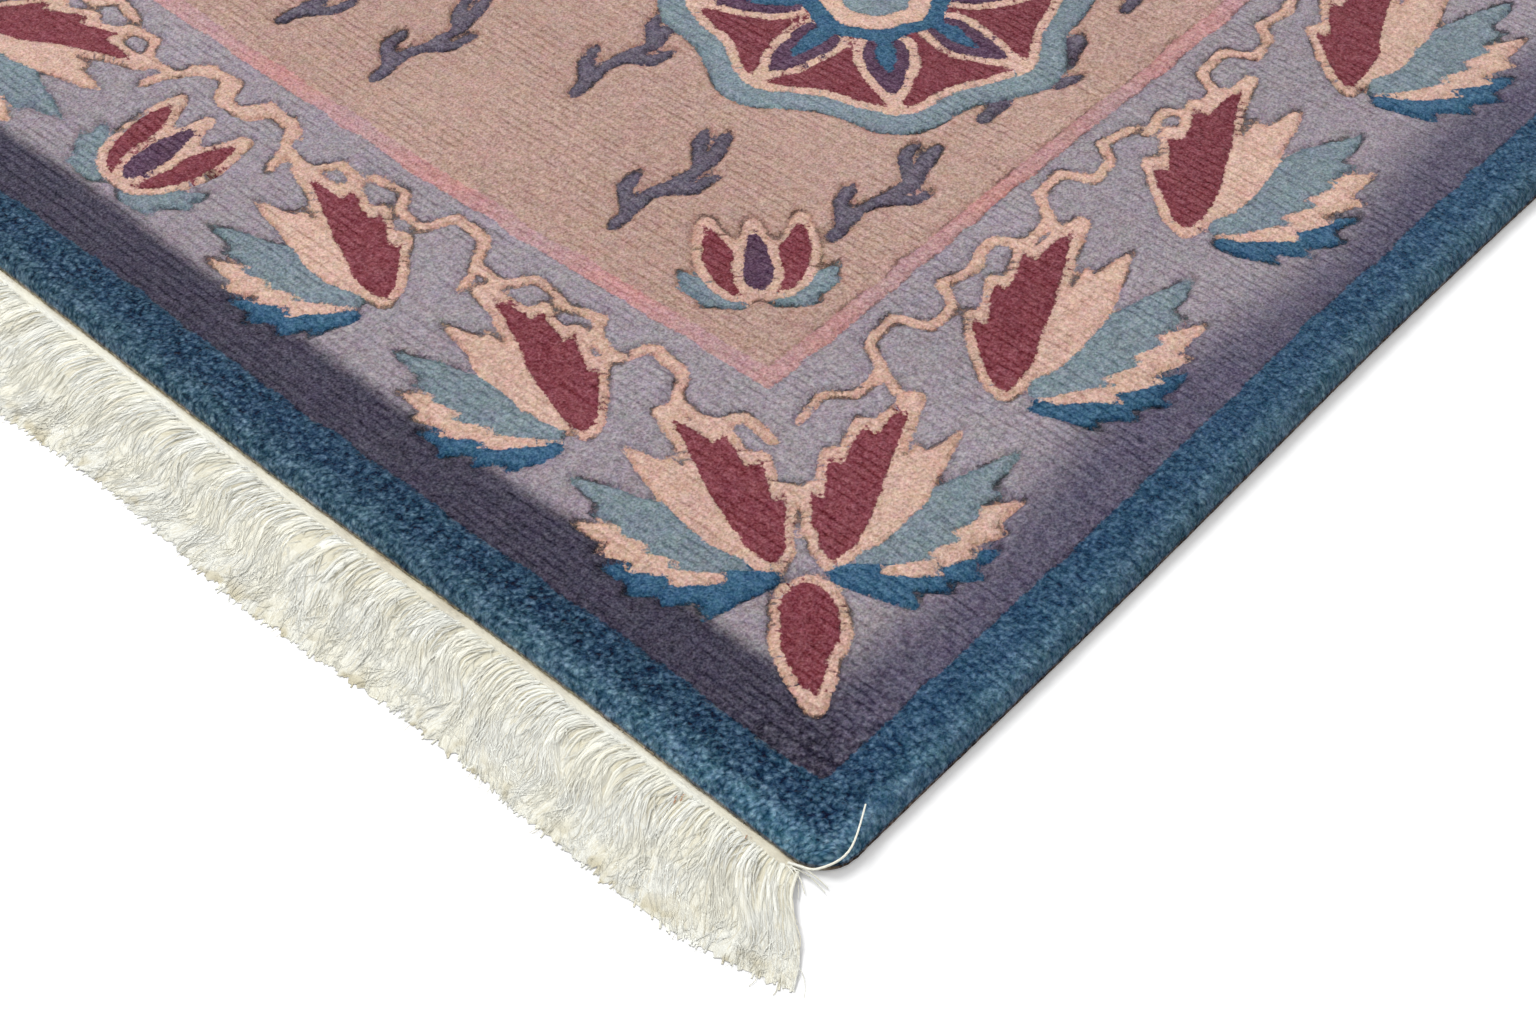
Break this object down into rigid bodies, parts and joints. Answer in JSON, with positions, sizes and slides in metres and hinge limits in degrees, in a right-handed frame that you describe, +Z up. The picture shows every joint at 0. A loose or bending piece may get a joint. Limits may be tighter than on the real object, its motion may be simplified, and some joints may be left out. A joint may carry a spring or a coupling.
{
  "type": "hand-knotted wool rug",
  "caption": "Flat rectangular wool rug with a thick carved pile, a plain outer band and a short cotton fringe along both ends.",
  "frame": {"origin": "middle of the underside, on the floor plane, fringes included", "axes": "+Z up out of the pile, +Y along the rug's length through both fringes, +X across its width"},
  "size_m": [0.9484, 1.6284, 0.01],
  "materials": {
    "wool_pile": "cut wool pile, matte with a soft sheen, carved along the pattern",
    "cotton_warp": "undyed twisted cotton yarn, matte"
  },
  "bodies": {
    "root": {"rug_body": "wool_pile", "cotton_end_south": "cotton_warp", "cotton_end_north": "cotton_warp"}
  },
  "joints": []
}
